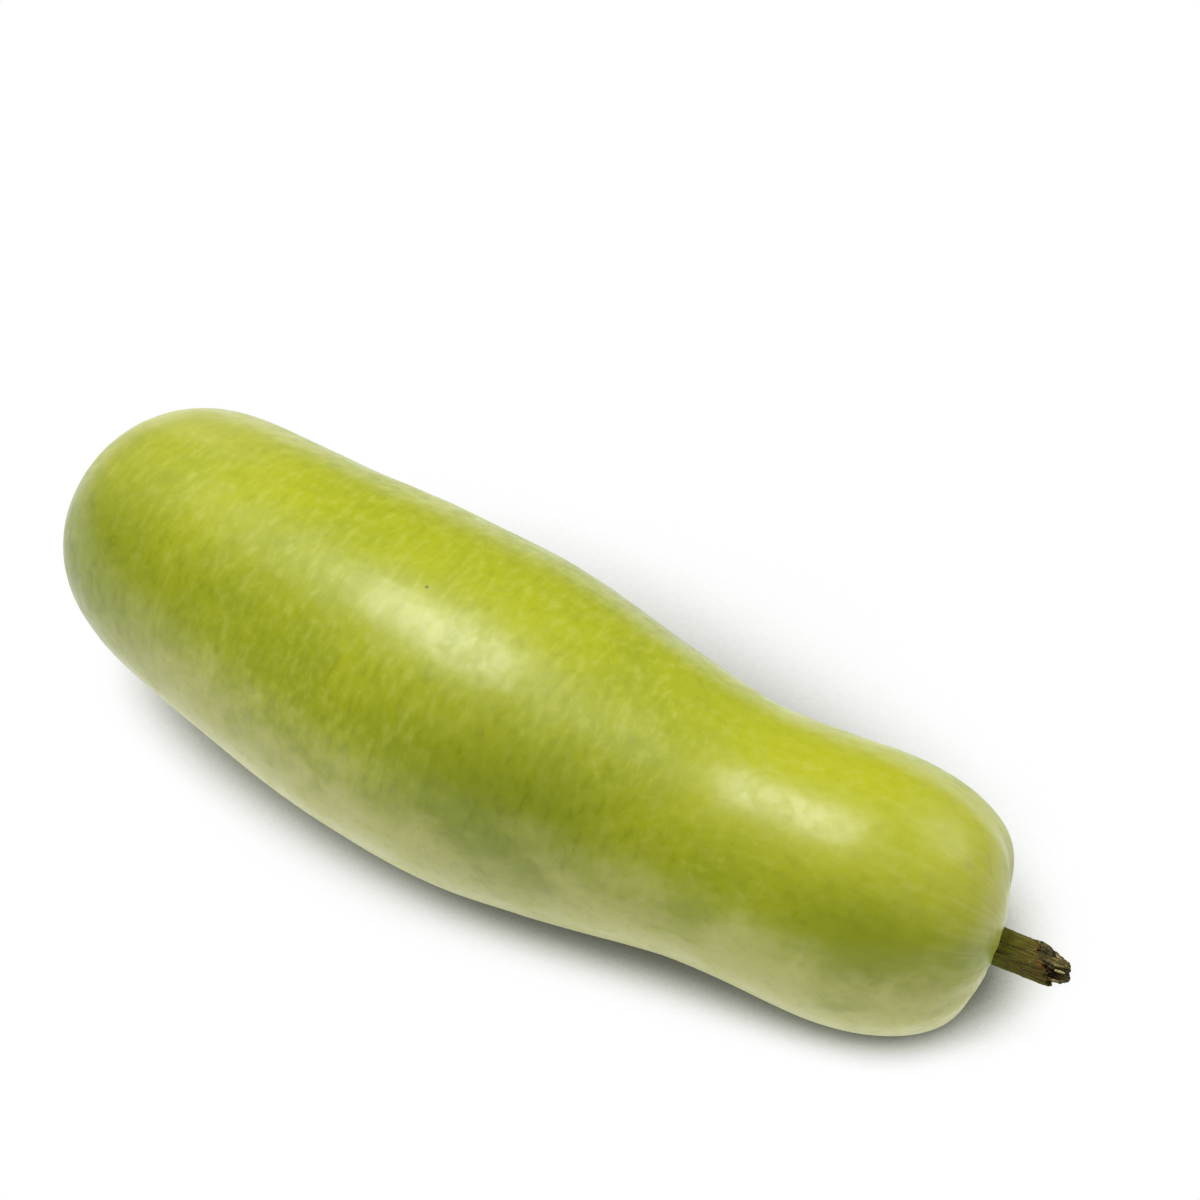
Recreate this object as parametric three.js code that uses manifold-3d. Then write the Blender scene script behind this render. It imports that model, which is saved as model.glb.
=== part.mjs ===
// A bottle gourd lying on a flat surface: one long fruit and its dry, broken stem.
// Millimetres, +Z up. The fruit lies along X, with the blossom end at -X and the stem at +X.
import * as THREE from 'three';
import { mergeVertices } from 'three/addons/utils/BufferGeometryUtils.js';
import Module from 'manifold-3d';

// Fruit: the length from pole to pole, and the body's radii at even steps along it, from the blossom
// end over the long belly and the slight waist to the bulb behind the stem.
const FRUIT_LENGTH = 309;
const BODY_RADII = [45.5, 44, 47.5, 51, 51, 45, 39, 42, 42];
// Both ends close as superellipses. A roundness of 2 is half an ellipse, and more is blunter.
const BLOSSOM_CAP = { length: 52, roundness: 2.3 };
const STEM_CAP = { length: 80, roundness: 3.5 };
// The fruit is bowed sideways, and its middle stands this far towards -Y.
const BOW = 14;
// It rests on the belly and on the bulb, at these shares of its length, and is pressed flat there. They
// are the two places that a straight edge laid along its underside would touch.
const BELLY_REST = 0.5;
const BULB_REST = 0.88;
const FLAT_DEPTH = 0.8;

// Dents at the poles: a shallow one round the blossom scar, and the hollow that holds the stem.
const BLOSSOM_DENT = { floorRadius: 3.4, rimRadius: 10, depth: 1.2 };
const SCAR_RADIUS = 2.8;
const SCAR_HEIGHT = 0.8;
const STEM_HOLLOW = { floorRadius: 7.6, rimRadius: 11.5, depth: 3.5 };

// Furrows between the lobes of the stem end: where they lie round the fruit, counted from +Y
// towards +Z, how deep and wide they are, and the share of the length at which they begin.
const FURROWS_AT_DEG = [58, 232, 290, 350];
const FURROW_DEPTH = 0.8;
const FURROW_WIDTH_DEG = 14;
const FURROWS_FROM = 0.76;
// Between the furrows the lobes swell up round the hollow's rim by this much, out to the radius where they
// end. On one side the end falls back, most at the rim: by how much, and on which side, counted likewise.
const LOBE_HEIGHT = 1;
const LOBE_END = 34;
const RIM_FALL = 4.8;
const RIM_FALL_AT_DEG = 310;
// Furrows and lobes stand on lines from this place inside the bulb, as a share of the length.
const BULB_MIDDLE = 0.88;

// Stem: five ridges, a bark that is torn off aslant, and a woody core that tapers to the tip.
const STEM_RADIUS = 5.7;
const BARK_LENGTH = 16.7;
const STEM_LENGTH = 25.5;
const BARK_THICKNESS = 0.5;
const STEM_RIDGES = 5;
const RIDGE_HEIGHT = 0.3;
const TEAR_SLANT = 3.5;
const TEAR_RAGGEDNESS = 0.7;
// The bark reaches furthest, and the stem stands off the middle of its hollow and leans, towards this
// side, counted as the furrows are.
const STEM_LOW_SIDE_DEG = 220;
const STEM_SHIFT = 1.5;
const STEM_LEAN_DEG = 4;
// Clear space between the stem's foot and the floor of its hollow.
const SEAT_GAP = 0.3;

const FRUIT_SIDES = 48;
const CAP_RINGS = 14;
const BODY_RINGS = 18;
const DENT_RINGS = 4;
const STEM_SIDES = 30;

const radians = THREE.MathUtils.degToRad;
const { clamp, lerp, smoothstep } = THREE.MathUtils;

const bodyCurve = new THREE.SplineCurve(
  BODY_RADII.map((radius, i) => new THREE.Vector2(i / (BODY_RADII.length - 1), radius)),
);

// The body's radius at a distance along the fruit, before the ends are closed.
function bodyRadius(along) {
  return bodyCurve.getPoint(clamp(along / FRUIT_LENGTH, 0, 1)).y;
}

// The share of the body's radius that a cap leaves at a distance from its pole.
function capShare(cap, fromPole) {
  const inside = clamp(1 - fromPole / cap.length, 0, 1);
  return (1 - inside ** cap.roundness) ** (1 / cap.roundness);
}

// The fruit's radius at a distance along it, with both ends closed.
function fruitRadius(along) {
  return bodyRadius(along) * capShare(BLOSSOM_CAP, along) * capShare(STEM_CAP, FRUIT_LENGTH - along);
}

// How far a cap falls back from its pole at a radius, for a cap of that full radius.
function capFall(cap, radius, fullRadius) {
  return cap.length * (1 - (1 - (radius / fullRadius) ** cap.roundness) ** (1 / cap.roundness));
}

// How deep a dent is at a radius: flat on its floor, then a smooth rise to its rim.
function dentDepth(dent, radius) {
  return dent.depth * (1 - smoothstep(radius, dent.floorRadius, dent.rimRadius));
}

// Radii for the rings of a dent, from its floor's edge to its rim.
function dentRadii(dent) {
  const shares = Array.from({ length: DENT_RINGS + 1 }, (_, i) => i / DENT_RINGS);
  return shares.map((share) => lerp(dent.floorRadius, dent.rimRadius, share));
}

// The rings of a cap outside its dent, from the pole outwards, as { fall, share of the body's radius }.
function capRings(cap, dent, fullRadius) {
  const rings = [];
  for (let i = 1; i <= CAP_RINGS; i += 1) {
    const angle = (Math.PI / 2) * (i / CAP_RINGS);
    const share = Math.sin(angle) ** (2 / cap.roundness);
    const fall = cap.length * (1 - Math.cos(angle) ** (2 / cap.roundness));
    if (share * fullRadius > dent.rimRadius * 1.1) {
      rings.push({ fall, share });
    }
  }
  return rings;
}

// The fruit's outline as (radius, along) points, from the blossom pole to the middle of the hollow.
function fruitOutline() {
  const blossomRadius = bodyRadius(0);
  const stemRadius = bodyRadius(FRUIT_LENGTH);
  const scarFloor = BLOSSOM_DENT.depth;
  const outline = [
    new THREE.Vector2(0, scarFloor - SCAR_HEIGHT),
    new THREE.Vector2(SCAR_RADIUS * 0.8, scarFloor - SCAR_HEIGHT),
    new THREE.Vector2(SCAR_RADIUS, scarFloor),
  ];
  for (const radius of dentRadii(BLOSSOM_DENT)) {
    const along = capFall(BLOSSOM_CAP, radius, blossomRadius) + dentDepth(BLOSSOM_DENT, radius);
    outline.push(new THREE.Vector2(radius, along));
  }
  for (const { fall, share } of capRings(BLOSSOM_CAP, BLOSSOM_DENT, blossomRadius)) {
    outline.push(new THREE.Vector2(share * bodyRadius(fall), fall));
  }
  for (let i = 1; i < BODY_RINGS; i += 1) {
    const along = lerp(BLOSSOM_CAP.length, FRUIT_LENGTH - STEM_CAP.length, i / BODY_RINGS);
    outline.push(new THREE.Vector2(bodyRadius(along), along));
  }
  for (const { fall, share } of capRings(STEM_CAP, STEM_HOLLOW, stemRadius).reverse()) {
    const along = FRUIT_LENGTH - fall;
    outline.push(new THREE.Vector2(share * bodyRadius(along), along));
  }
  for (const radius of dentRadii(STEM_HOLLOW).reverse()) {
    const fall = capFall(STEM_CAP, radius, stemRadius) + dentDepth(STEM_HOLLOW, radius);
    outline.push(new THREE.Vector2(radius, FRUIT_LENGTH - fall));
  }
  outline.push(new THREE.Vector2(0, outline[outline.length - 1].y));
  return outline;
}

// A place on the fruit's bowed middle line, with the directions along it, to its side and upwards.
function middleLine(along) {
  const bellyAt = BELLY_REST * FRUIT_LENGTH;
  const bulbAt = BULB_REST * FRUIT_LENGTH;
  const slope = (fruitRadius(bulbAt) - fruitRadius(bellyAt)) / (bulbAt - bellyAt);
  const share = along / FRUIT_LENGTH;
  const place = new THREE.Vector3(
    along,
    -BOW * 4 * share * (1 - share),
    fruitRadius(bellyAt) - FLAT_DEPTH + slope * (along - bellyAt),
  );
  const onward = new THREE.Vector3(1, (-BOW * 4 * (1 - 2 * share)) / FRUIT_LENGTH, slope).normalize();
  const side = new THREE.Vector3(0, 0, 1).cross(onward).normalize();
  const up = onward.clone().cross(side);
  return { place, onward, side, up };
}

// How deep the furrows are at a turn round the fruit, from 0 between them to 1 at their bottoms.
function furrowShare(turn) {
  let share = 0;
  for (const furrow of FURROWS_AT_DEG) {
    const offset = THREE.MathUtils.euclideanModulo(turn - radians(furrow) + Math.PI, 2 * Math.PI) - Math.PI;
    share = Math.max(share, Math.exp(-((offset / radians(FURROW_WIDTH_DEG)) ** 2)));
  }
  return share;
}

// Turns an outline round its axis into a closed surface, and moves each point to where place() puts it.
function turned(outline, sides, place) {
  const geometry = new THREE.LatheGeometry(outline, sides);
  const position = geometry.getAttribute('position');
  for (let i = 0; i < position.count; i += 1) {
    const x = position.getX(i);
    const z = position.getZ(i);
    const point = place(position.getY(i), Math.hypot(x, z), Math.atan2(x, z));
    position.setXYZ(i, point.x, point.y, point.z);
  }
  return welded(geometry);
}

// Merges the points that coincide, and drops the triangles that have lost their area at a pole.
function welded(geometry) {
  geometry.deleteAttribute('normal');
  geometry.deleteAttribute('uv');
  const merged = mergeVertices(geometry);
  const corners = Array.from(merged.getIndex().array);
  const kept = [];
  for (let i = 0; i < corners.length; i += 3) {
    const [a, b, c] = corners.slice(i, i + 3);
    if (a !== b && b !== c && c !== a) {
      kept.push(a, b, c);
    }
  }
  merged.setIndex(kept);
  return merged;
}

// Cuts one closed surface away from another.
async function cut(geometry, tool) {
  const wasm = await Module();
  wasm.setup();
  const solid = ({ attributes, index }) => new wasm.Manifold(new wasm.Mesh({
    numProp: 3,
    vertProperties: new Float32Array(attributes.position.array),
    triVerts: new Uint32Array(index.array),
  }));
  const mesh = solid(geometry).subtract(solid(tool)).getMesh();
  const result = new THREE.BufferGeometry();
  result.setAttribute('position', new THREE.BufferAttribute(mesh.vertProperties, 3));
  result.setIndex(new THREE.BufferAttribute(mesh.triVerts, 1));
  return result;
}

async function makeFruit() {
  const bulbMiddle = BULB_MIDDLE * FRUIT_LENGTH;
  const body = turned(fruitOutline(), FRUIT_SIDES, (along, radius, turn) => {
    const { place, onward, side, up } = middleLine(along);
    const outward = side.clone().multiplyScalar(Math.cos(turn)).addScaledVector(up, Math.sin(turn));
    const point = place.addScaledVector(outward, radius);
    const begun = smoothstep(along, FURROWS_FROM * FRUIT_LENGTH, FRUIT_LENGTH - STEM_HOLLOW.rimRadius);
    const clearOfHollow = smoothstep(radius, STEM_HOLLOW.floorRadius, STEM_HOLLOW.rimRadius);
    const nearRim = 1 - smoothstep(radius, STEM_HOLLOW.rimRadius, LOBE_END);
    const fallingSide = (1 + Math.cos(turn - radians(RIM_FALL_AT_DEG))) / 2;
    const furrow = furrowShare(turn);
    const swelling = nearRim * (LOBE_HEIGHT * (1 - furrow) - RIM_FALL * fallingSide);
    const raised = begun * clearOfHollow * (swelling - FURROW_DEPTH * furrow);
    const fromBulb = new THREE.Vector2(along - bulbMiddle, radius).normalize();
    return point.addScaledVector(onward, raised * fromBulb.x).addScaledVector(outward, raised * fromBulb.y);
  });
  const groundDepth = FRUIT_LENGTH / 4;
  const ground = new THREE.BoxGeometry(FRUIT_LENGTH * 2, FRUIT_LENGTH, groundDepth);
  ground.translate(FRUIT_LENGTH / 2, 0, -groundDepth / 2);
  const skin = new THREE.MeshStandardMaterial({ color: 0xa9b33c, roughness: 0.42, metalness: 0 });
  const fruit = new THREE.Mesh(await cut(body, welded(ground)), skin);
  fruit.name = 'fruit';
  return fruit;
}

// The stem's outline as (radius, along) points, from the middle of its flat foot to its tip.
function stemOutline() {
  const coreRadius = STEM_RADIUS - BARK_THICKNESS;
  const coreLength = STEM_LENGTH - BARK_LENGTH;
  const outline = [
    new THREE.Vector2(0, 0),
    new THREE.Vector2(STEM_RADIUS, 0),
    new THREE.Vector2(STEM_RADIUS, 3.5),
    new THREE.Vector2(STEM_RADIUS * 0.97, BARK_LENGTH * 0.5),
    new THREE.Vector2(STEM_RADIUS, BARK_LENGTH - 1),
    new THREE.Vector2(STEM_RADIUS * 0.97, BARK_LENGTH),
    new THREE.Vector2(coreRadius, BARK_LENGTH),
  ];
  for (const share of [0.3, 0.6, 0.9]) {
    const taper = 1 - share / 2;
    outline.push(new THREE.Vector2(coreRadius * taper, BARK_LENGTH + coreLength * share));
  }
  outline.push(new THREE.Vector2(0, STEM_LENGTH));
  return outline;
}

function makeStem() {
  const lowSide = radians(STEM_LOW_SIDE_DEG);
  const geometry = turned(stemOutline(), STEM_SIDES, (along, radius, turn) => {
    const ridge = RIDGE_HEIGHT * Math.cos(STEM_RIDGES * turn) * smoothstep(along, 0, 3);
    const ridgedRadius = radius + ridge * Math.min(1, radius / STEM_RADIUS);
    const slant = TEAR_SLANT * Math.cos(turn - lowSide) * smoothstep(along, 3, BARK_LENGTH);
    const ragged = TEAR_RAGGEDNESS * Math.cos(7 * turn) * smoothstep(along, BARK_LENGTH * 0.8, BARK_LENGTH);
    const slantShare = Math.min(1, radius / STEM_RADIUS);
    const offMiddle = STEM_SHIFT + along * Math.tan(radians(STEM_LEAN_DEG));
    return new THREE.Vector3(
      along + (slant + ragged) * slantShare,
      ridgedRadius * Math.cos(turn) + offMiddle * Math.cos(lowSide),
      ridgedRadius * Math.sin(turn) + offMiddle * Math.sin(lowSide),
    );
  });
  const bark = new THREE.MeshStandardMaterial({ color: 0x5a4e22, roughness: 0.85, metalness: 0 });
  const stem = new THREE.Mesh(geometry, bark);
  stem.name = 'stem';
  const hollowFloor = fruitOutline().pop().y;
  const { place, onward, side, up } = middleLine(hollowFloor);
  stem.position.copy(place).addScaledVector(onward, SEAT_GAP);
  stem.quaternion.setFromRotationMatrix(new THREE.Matrix4().makeBasis(onward, side, up));
  return stem;
}

// The origin is the middle of the underside of the whole gourd's box.
const gourd = new THREE.Group();
gourd.add(await makeFruit(), makeStem());
gourd.updateMatrixWorld(true);
const middle = new THREE.Box3().setFromObject(gourd, true).getCenter(new THREE.Vector3());
gourd.position.set(-middle.x, -middle.y, 0);

export default gourd;
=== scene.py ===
import math
import random

import bpy
import numpy as np
from bpy.props import FloatProperty, FloatVectorProperty, PointerProperty
from bpy.types import Operator, Panel, PropertyGroup
from mathutils import Matrix, Vector


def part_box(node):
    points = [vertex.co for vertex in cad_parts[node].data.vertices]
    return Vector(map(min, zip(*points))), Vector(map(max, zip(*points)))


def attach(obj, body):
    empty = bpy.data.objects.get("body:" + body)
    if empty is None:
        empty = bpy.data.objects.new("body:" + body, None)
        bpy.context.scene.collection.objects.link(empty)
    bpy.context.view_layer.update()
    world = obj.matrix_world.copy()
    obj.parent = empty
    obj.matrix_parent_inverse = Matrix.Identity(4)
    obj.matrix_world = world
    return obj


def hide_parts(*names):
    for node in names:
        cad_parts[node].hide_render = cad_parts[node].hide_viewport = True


bl_info = {
    "name": "Bottle Gourd",
    "version": (1, 0, 0),
    "blender": (4, 5, 0),
    "location": "3D View > Sidebar > Gourd",
    "description": "Models a bottle gourd with its dry stem on a pale floor",
    "category": "Add Mesh",
}

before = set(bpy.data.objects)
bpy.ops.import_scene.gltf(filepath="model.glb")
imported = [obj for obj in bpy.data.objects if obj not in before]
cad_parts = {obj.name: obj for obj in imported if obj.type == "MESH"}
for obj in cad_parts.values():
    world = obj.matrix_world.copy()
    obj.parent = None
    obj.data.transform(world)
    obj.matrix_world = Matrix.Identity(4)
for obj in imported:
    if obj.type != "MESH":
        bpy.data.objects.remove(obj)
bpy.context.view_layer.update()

MM = 0.001


# ---------------------------------------------------------------- sizes and colours

def number_setting(name, text, value, **kind):
    return FloatProperty(name=name, description=text, default=value, **kind)


def share_setting(name, text, value):
    return number_setting(name, text, value, subtype="FACTOR")


def length_setting(name, text, metres):
    return number_setting(name, text, metres, unit="LENGTH")


def angle_setting(name, text, degrees):
    return number_setting(name, text, math.radians(degrees), subtype="ANGLE")


def lengths_setting(name, text, metres):
    return FloatVectorProperty(name=name, description=text, default=metres, size=len(metres), unit="LENGTH")


def colour_setting(name, text, red, green, blue):
    return FloatVectorProperty(name=name, description=text, default=(red, green, blue, 1), size=4,
                               subtype="COLOR")


class GourdFruitSettings(PropertyGroup):
    """The fruit's driving sizes."""

    length: length_setting("Length", "From the blossom pole to the stem pole", 309 * MM)
    radii: lengths_setting(
        "Body radii", "At even steps from the blossom end to the stem end",
        [r * MM for r in (45.5, 44, 47.5, 51, 51, 45, 39, 42, 42)])
    blossom_cap: length_setting("Blossom cap", "Length over which the blossom end closes", 52 * MM)
    blossom_roundness: number_setting("Blossom roundness", "2 is half an ellipse, more is blunter", 2.3)
    stem_cap: length_setting("Stem cap", "Length over which the stem end closes", 80 * MM)
    stem_roundness: number_setting("Stem end roundness", "2 is half an ellipse, more is blunter", 3.5)
    bow: length_setting("Bow", "How far the middle stands sideways", 14 * MM)
    belly_rest: share_setting("Belly rest", "Share of the length at which the belly rests", 0.5)
    bulb_rest: share_setting("Bulb rest", "Share of the length at which the bulb rests", 0.88)
    flat_depth: length_setting("Flat depth", "How far the skin is pressed flat where it rests", 0.8 * MM)
    furrow_depth: length_setting(
        "Furrow depth", "Depth of the furrows between the lobes at the stem", 0.8 * MM)
    furrow_width: angle_setting("Furrow width", "Half width of a furrow, as a turn round the fruit", 14)
    lobe_height: length_setting("Lobe height", "How far the lobes swell up round the stem", 1.0 * MM)
    rim_fall: length_setting("Rim fall", "How far the stem end falls back on its far side", 4.8 * MM)
    pleat_depth: length_setting("Pleat depth", "Depth of the fine pleats that run to the stem", 0.35 * MM)
    lump_height: length_setting("Lump height", "Height of the broad unevenness of the skin", 0.7 * MM)
    dimple_height: length_setting("Dimple height", "Height of the small unevenness of the skin", 0.16 * MM)


class GourdStemSettings(PropertyGroup):
    """The stem's driving sizes."""

    radius: length_setting("Radius", "Radius of the bark between its ridges", 5.35 * MM)
    bark_length: length_setting("Bark length", "From the foot to the torn edge", 16.7 * MM)
    length: length_setting("Length", "From the foot to the tip of the core", 25.5 * MM)
    bark_thickness: length_setting("Bark thickness", "Thickness of the bark's wall", 0.5 * MM)
    ridge_height: length_setting("Ridge height", "Height of the five ridges", 0.6 * MM)
    shift: length_setting("Shift", "How far the stem stands off the middle of its hollow", 1.5 * MM)
    tear_slant: length_setting("Tear slant", "How far the tear is drawn out on the low side", 3.5 * MM)
    tear_raggedness: length_setting("Tear raggedness", "Height of the tear's teeth", 0.7 * MM)
    lean: angle_setting("Lean", "Turn of the stem towards its low side", 4)


class GourdColours(PropertyGroup):
    """Colours of the skin and the stem, as linear values."""

    skin: colour_setting("Skin", "Yellow-green of most of the skin", 0.43, 0.475, 0.006)
    skin_ripe: colour_setting("Skin, ripe", "Yellower skin along the top of the fruit", 0.52, 0.53, 0.008)
    skin_scuff: colour_setting(
        "Skin scuffs", "Grey green of the rubbed places by the stem", 0.27, 0.29, 0.11)
    skin_speck: colour_setting("Skin specks", "Dark olive of the tiny specks", 0.10, 0.11, 0.015)
    skin_dark: colour_setting("Dark skin", "Deeper green of the soft patches", 0.31, 0.375, 0.005)
    # Also the colour of the painted shade away from the top on the waist, neck, shoulder and blossom end.
    skin_deep_and_shade: colour_setting("Deep skin", "Green between the pale strokes of the skin", 0.235, 0.285, 0.002)
    # Also the colour of the painted sheen on the top by the stem and on the blossom end, and of the painted
    # reflection on the underside.
    skin_pale_and_sheen: colour_setting(
        "Pale skin", "Pale skin of the underside and of the streaks at the stem", 0.645, 0.65, 0.18)
    fleck: colour_setting("Flecks", "Pale flecks and streaks in the skin", 0.55, 0.585, 0.085)
    bark: colour_setting("Bark", "Olive brown of the stem", 0.195, 0.155, 0.019)
    bark_green: colour_setting("Green bark", "Bark that has dried green", 0.205, 0.235, 0.014)
    bark_brown: colour_setting("Brown bark", "Bark near the tear", 0.165, 0.082, 0.014)
    bark_dark: colour_setting("Dark bark", "Lines and grooves of the bark", 0.045, 0.038, 0.006)
    bark_grey: colour_setting("Grey bark", "Worn spots on the bark", 0.30, 0.28, 0.11)
    wood: colour_setting("Wood", "Dry core of the stem", 0.23, 0.18, 0.055)
    wood_dark: colour_setting("Dark wood", "Rotted pits of the core", 0.022, 0.017, 0.008)
    fibre: colour_setting("Fibre", "Dry strands of the core", 0.47, 0.40, 0.19)
    cork: colour_setting("Cork", "Scar of the blossom", 0.40, 0.36, 0.13)


class GourdStageSettings(PropertyGroup):
    """The camera, the lamps and the floor."""

    azimuth: angle_setting("Azimuth", "Turn of the camera round the gourd", 31.33)
    elevation: angle_setting("Elevation", "Height of the camera above the floor, as an angle", 45)
    distance: length_setting("Distance", "From the camera to the place it looks at", 1.168)
    aim: lengths_setting("Aim", "Place on the floor that the camera looks at", (-0.04276, 0.1018, 0.0))
    focal_length: number_setting("Focal length", "In millimetres, on a 36 mm sensor", 108.5)
    lamp_power: number_setting("Lamp power", "Power of the soft box over the gourd, in watts", 12.4)
    lamp_place: lengths_setting("Lamp place", "Middle of the soft box", (-0.272, -0.05, 1.28))
    lamp_size: lengths_setting(
        "Lamp size", "Size of the soft box along the gourd and across it", (0.56, 0.62))
    back_lamp_power: number_setting(
        "Back lamp power", "Power of the soft box behind the stem end, in watts", 0.9)
    back_lamp_place: lengths_setting(
        "Back lamp place", "Middle of the soft box behind the stem end", (0.38, 0.42, 0.50))
    back_lamp_size: lengths_setting(
        "Back lamp size", "Size of the soft box behind the stem end", (0.30, 0.30))
    zenith_strength: number_setting("Sky above", "Strength of the white light from straight above", 0.36)
    horizon_strength: number_setting("Sky at the horizon", "Strength of the white light from the side", 0.12)
    floor_colour: colour_setting("Floor", "Colour of the floor", 0.88, 0.88, 0.88)
    floor_brightness: number_setting("Floor brightness", "Of the white floor in reflections", 1.3)
    open_share: FloatVectorProperty(
        name="Open share", description="Shares of the sky seen at which the floor is nearly black and white",
        default=(0.485, 0.752), size=2)


SETTINGS = {
    "gourd_fruit": GourdFruitSettings,
    "gourd_stem": GourdStemSettings,
    "gourd_colours": GourdColours,
    "gourd_stage": GourdStageSettings,
}


# ---------------------------------------------------------------- the fruit's shape

# Rings of the fruit: over each dent, over each end from its pole to the body, of which those in the dent are
# left out, and along the body with both its ends counted.
DENT_RINGS, END_RINGS, BODY_RINGS = 6, 14, 24
FRUIT_SIDES = 48
# The first ring outside a dent stands at least this much further out than the rim.
RIM_CLEARANCE = 1.1
# Rounds in which a point's nearest place on the bowed middle line is found.
NEAREST_ROUNDS = 4
# Furrows between the lobes of the stem end: turns round the fruit, from +Y towards +Z, and the share of the
# length at which they begin.
FURROWS_AT = [math.radians(turn) for turn in (58, 232, 290, 350)]
FURROWS_FROM = 0.76
# Pleats begin and are full at these ways from the stem pole.
PLEATS_OVER = (50 * MM, 12 * MM)
# Size of the broad lumps and of the small dimples of the skin.
LUMP_SIZE, DIMPLE_SIZE = 35 * MM, 11 * MM
# Dents at the poles: the radius of the flat floor, the radius of the rim and the depth.
BLOSSOM_DENT = (3.4 * MM, 10 * MM, 1.2 * MM)
STEM_HOLLOW = (7.6 * MM, 11.5 * MM, 3.5 * MM)
# The lobes swell up round the hollow's rim, out to this radius, and the end falls back on this side.
LOBE_END = 34 * MM
RIM_FALL_AT = math.radians(310)
# The stem's ridges; the side on which its bark reaches furthest, and the sides on which its core has rotted
# away, has cracked and shows most strands, as turns like the furrows'; and how deep its foot stands in the
# floor of its hollow.
STEM_RIDGES = 5
STEM_LOW_SIDE = math.radians(220)
STEM_ROT_SIDE = math.radians(165)
STEM_CRACK_SIDE = math.radians(103)
STEM_STRAND_SIDE = math.radians(98)
STEM_SINK = 0.3 * MM
# The bark: its rings and sides, how much it is waisted, the height of its fine ribs, the length and the
# height of the frayed edge, how far that curls in, and the size and height of its grit.
BARK_RINGS, BARK_SIDES = 15, 90
BARK_WAIST = 0.2 * MM
BARK_RIB_HEIGHT = 0.45 * MM
FRAY_LENGTH, FRAY_HEIGHT, FRAY_CURL = 2.4 * MM, 1.1 * MM, 0.35 * MM
BARK_GRIT, BARK_GRIT_HEIGHT = 1.1 * MM, 0.28 * MM
# The core's outline in millimetres: the way from the foot, the radius and the lift off the stem's middle.
CORE_OUTLINE = ((8, 4.5, 0.0), (10, 4.7, 0.1), (12, 5.0, 0.3), (14, 5.1, 0.45), (16, 4.9, 0.45),
                (18, 4.5, 0.35), (20, 4.1, 0.2), (22, 3.4, 0.2), (23.3, 2.9, 0.3), (24.2, 2.4, 0.3))
# The core's pits in millimetres: name, side, the ways at which it begins and ends, and the depth. They come
# and go over the shoulder's length, and are absent and full at these cosines of the turn off their side.
CORE_PITS = (("rot", STEM_ROT_SIDE, 17, 23.5, 2.4), ("crack", STEM_CRACK_SIDE, 12.5, 15.5, 1.5))
PIT_SHOULDER = 1.5
PIT_ACROSS = (0.55, 0.97)
# The core's fine ribs, its ragged tip, which begins and is full at these ways from its end, and its grit.
CORE_RIB_HEIGHT, CORE_TIP_HEIGHT = 0.8 * MM, 2.8 * MM
CORE_TIP_FROM, CORE_TIP_FULL = 4 * MM, 1.4 * MM
CORE_GRIT, CORE_GRIT_HEIGHT = 1.6 * MM, 1.2 * MM
# One strand and one flake of the broken end in millimetres: radius, way along it and lift.
STRAND_OUTLINE = ((0.30, 0, 0), (0.42, 0.8, 0.03), (0.44, 1.9, 0.06), (0.36, 2.9, 0.14), (0.22, 3.5, 0.26))
FLAKE_OUTLINE = ((0.9, 0, 0), (1.0, 1.4, 0.1), (0.8, 2.8, 0.35), (0.5, 3.9, 0.7), (0.2, 4.6, 1.0))
# The strands: how many, how many of them on the strand side and how far those are spread round it, between
# which ways they lie, the radius they lie at, what it loses along the way and their lift off the stem's
# middle; then the least and greatest lean and size.
STRANDS, SIDE_STRANDS, STRAND_SPREAD = 30, 14, 0.45
STRANDS_FROM, STRANDS_TO = 18.6 * MM, 21.2 * MM
STRAND_RING, STRAND_TAPER, STRAND_LIFT = 4.25 * MM, 0.36, 0.25 * MM
STRAND_LEAN, STRAND_SIZE = (-0.42, -0.16), (0.6, 1.0)
# The flakes: how many, the first one's turn and how far each may stand off its own, their flatness, how deep
# they lie in the bark and how far in millimetres behind its edge; then the least and greatest lean and size.
FLAKES, FLAKES_FROM, FLAKE_SPREAD, FLAKE_FLATNESS = 11, 0.3, 0.2, 0.34
FLAKE_DEPTH, FLAKE_BEHIND = 0.6 * MM, (1.8, 2.8)
FLAKE_LEAN, FLAKE_SIZE = (-0.35, -0.10), (0.6, 1.1)
# The blossom scar's outline in millimetres, as radius and height, and the height of its cracks and grit.
SCAR_OUTLINE = ((2.9, -0.5), (3.0, 0.0), (2.8, 0.35), (2.3, 0.62), (1.8, 0.50), (1.5, 0.28), (1.0, 0.34),
                (0.5, 0.55))
SCAR_CRACK_HEIGHT = 0.35 * MM
SCAR_GRIT, SCAR_GRIT_HEIGHT = 0.8 * MM, 0.25 * MM


def smooth_step(value, low, high):
    """0 below low, 1 above high, and a smooth rise between them."""
    share = np.clip((value - low) / (high - low), 0.0, 1.0)
    return share * share * (3 - 2 * share)


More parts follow.
